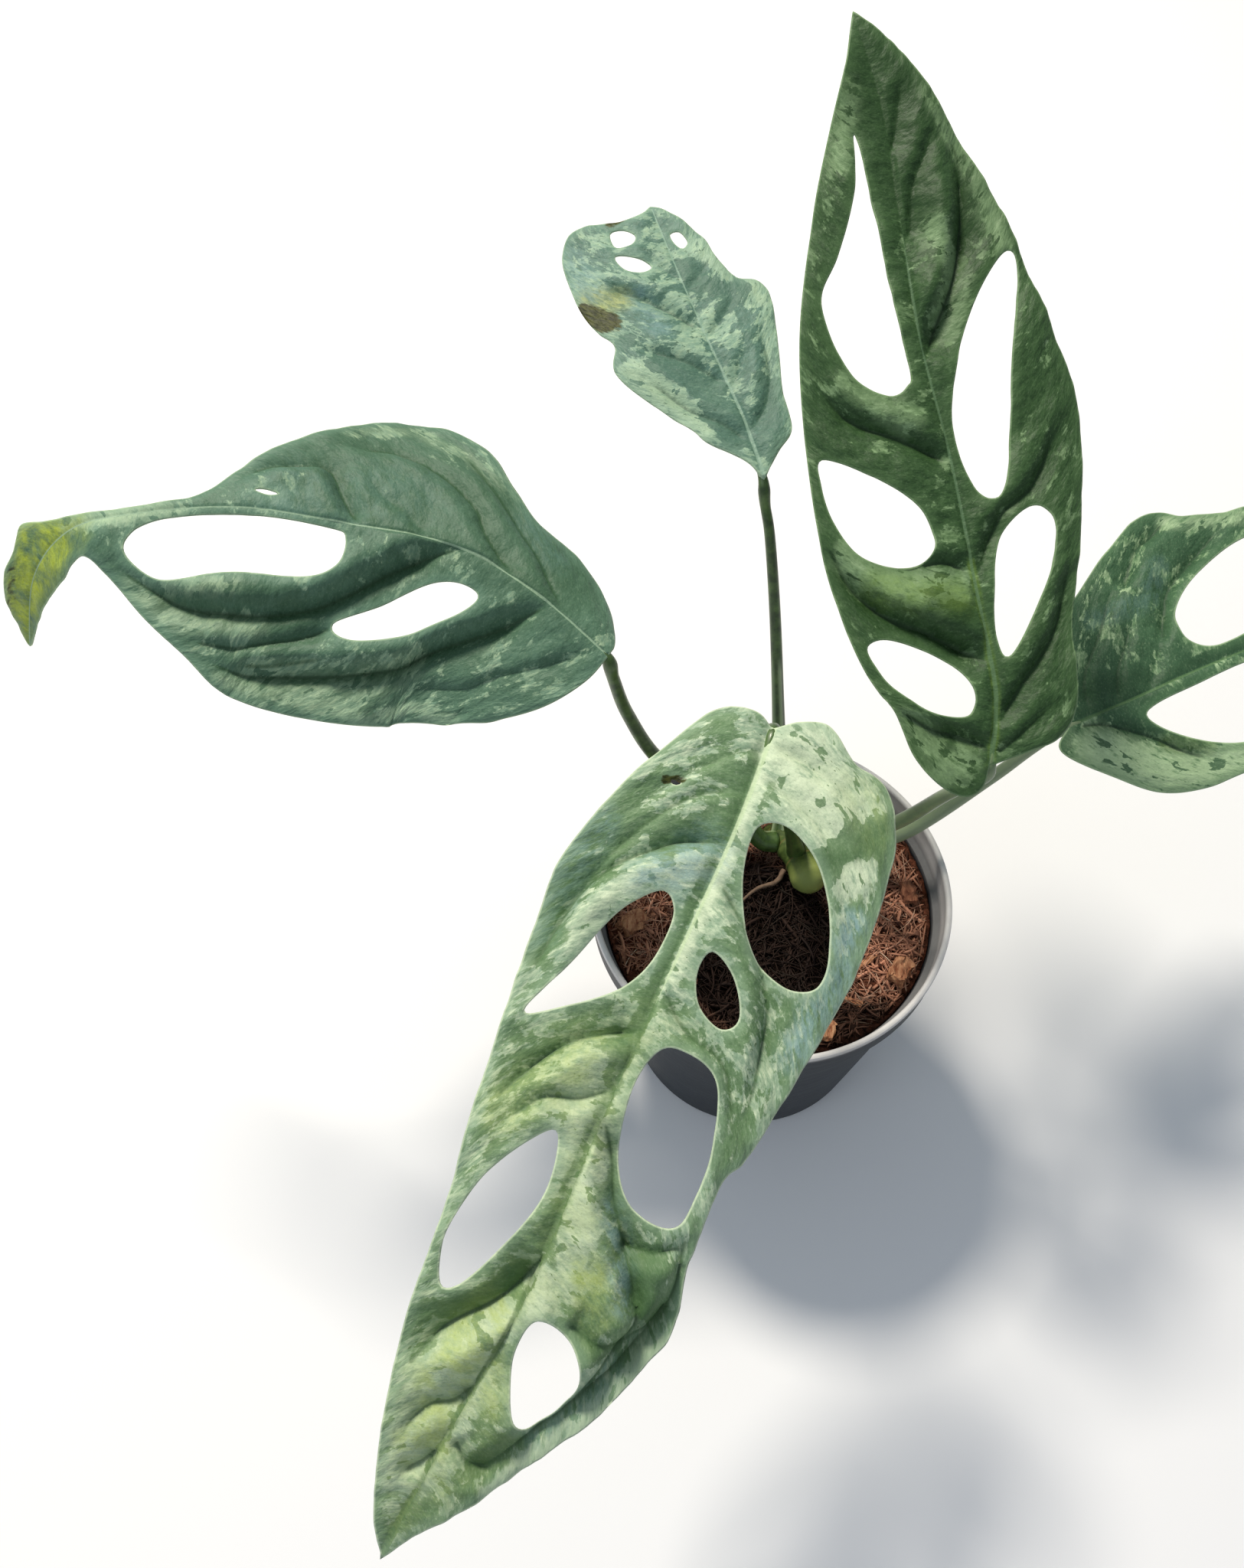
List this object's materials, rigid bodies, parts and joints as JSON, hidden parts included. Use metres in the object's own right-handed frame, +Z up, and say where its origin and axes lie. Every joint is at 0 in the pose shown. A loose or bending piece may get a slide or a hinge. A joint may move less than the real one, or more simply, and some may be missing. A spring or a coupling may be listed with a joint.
{
  "type": "potted monstera plant",
  "caption": "Young swiss-cheese vine in a small round nursery pot, with long-stalked, marbled green leaves that have natural holes between their veins.",
  "frame": {"origin": "centre of the pot's underside, on the surface that the pot stands on", "axes": "+Z up along the pot's axis; -Y towards the plant's front, where the largest leaf hangs; +X towards the low leaf on the right as seen from the front"},
  "size_m": [0.417, 0.3182, 0.2457],
  "materials": {
    "pot_plastic": "dark slate recycled plastic, slightly scuffed",
    "coir": "loose damp coconut fibre and pith",
    "green_stalk": "smooth living stalk skin",
    "leaf_skin": "waxy marbled leaf, satin above and matt below",
    "dry_root": "dry papery root bark",
    "coconut_husk": "rough dry husk"
  },
  "bodies": {
    "root": {"nursery_pot": "pot_plastic", "coir_mix": "coir", "vine_stem": "green_stalk", "stalk_front": "green_stalk", "stalk_left": "green_stalk", "stalk_back": "green_stalk", "stalk_tall": "green_stalk", "stalk_right": "green_stalk", "leaf_front": "leaf_skin", "leaf_left": "leaf_skin", "leaf_back": "leaf_skin", "leaf_tall": "leaf_skin", "leaf_right": "leaf_skin", "air_root_1": "dry_root", "air_root_2": "dry_root", "husk_chip_1": "coconut_husk", "husk_chip_2": "coconut_husk", "husk_chip_3": "coconut_husk", "husk_chip_4": "coconut_husk", "husk_chip_5": "coconut_husk", "husk_chip_6": "coconut_husk", "husk_chip_7": "coconut_husk", "husk_chip_8": "coconut_husk"}
  },
  "joints": []
}
